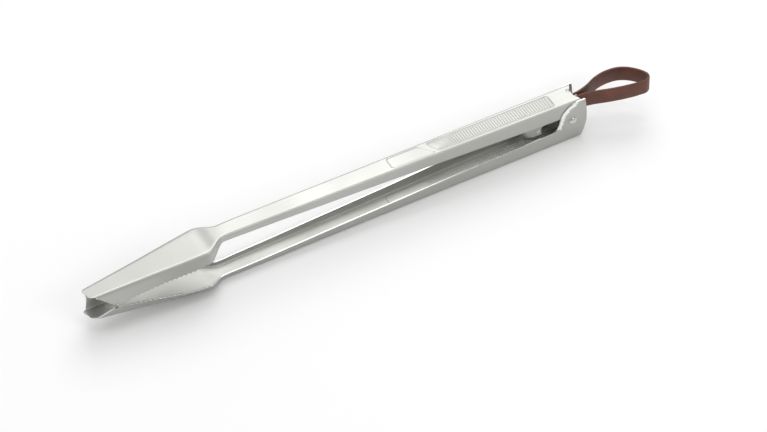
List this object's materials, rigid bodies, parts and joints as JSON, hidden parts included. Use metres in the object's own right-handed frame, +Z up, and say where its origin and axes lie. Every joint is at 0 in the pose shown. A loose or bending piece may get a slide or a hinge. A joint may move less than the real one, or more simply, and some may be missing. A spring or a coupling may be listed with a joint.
{
  "type": "kitchen tongs",
  "caption": "Long sprung kitchen tongs: two pressed steel channel arms with toothed scoop jaws, a rear pivot, a pull lock and a leather hanging loop.",
  "frame": {"origin": "on the lower arm's resting face, straight under the pivot axis", "axes": "+X from the jaws towards the leather loop, +Z up, the pivot axis along Y"},
  "size_m": [0.4596, 0.0342, 0.0445],
  "materials": {
    "brushed_stainless": "brushed along the arms",
    "rivet_steel": "turned and burnished",
    "spring_steel": "drawn wire",
    "slider_steel": "satin sheet",
    "sleeve_nylon": "natural nylon",
    "strap_leather": "smooth brown leather with cut edges"
  },
  "bodies": {
    "lower_body": {"lower_arm": "brushed_stainless", "pivot_rivet": "rivet_steel", "pivot_washer": "rivet_steel", "spring_sleeve": "sleeve_nylon", "torsion_spring": "spring_steel"},
    "upper_body": {"upper_arm": "brushed_stainless"},
    "lock_body": {"lock_slider": "slider_steel", "lock_pin": "rivet_steel", "strap": "strap_leather", "strap_rivet": "rivet_steel"}
  },
  "joints": [
    {"name": "arm_hinge", "type": "hinge", "parent": "lower_body", "child": "upper_body", "pos_m": [0, 0, 0.0186], "axis": [0, 1, 0], "range_deg": [0, 16], "deforming": ["torsion_spring"]},
    {"name": "lock_slide", "type": "slide", "parent": "lower_body", "child": "lock_body", "axis": [1, 0, 0], "range_m": [0, 0.0065]}
  ]
}
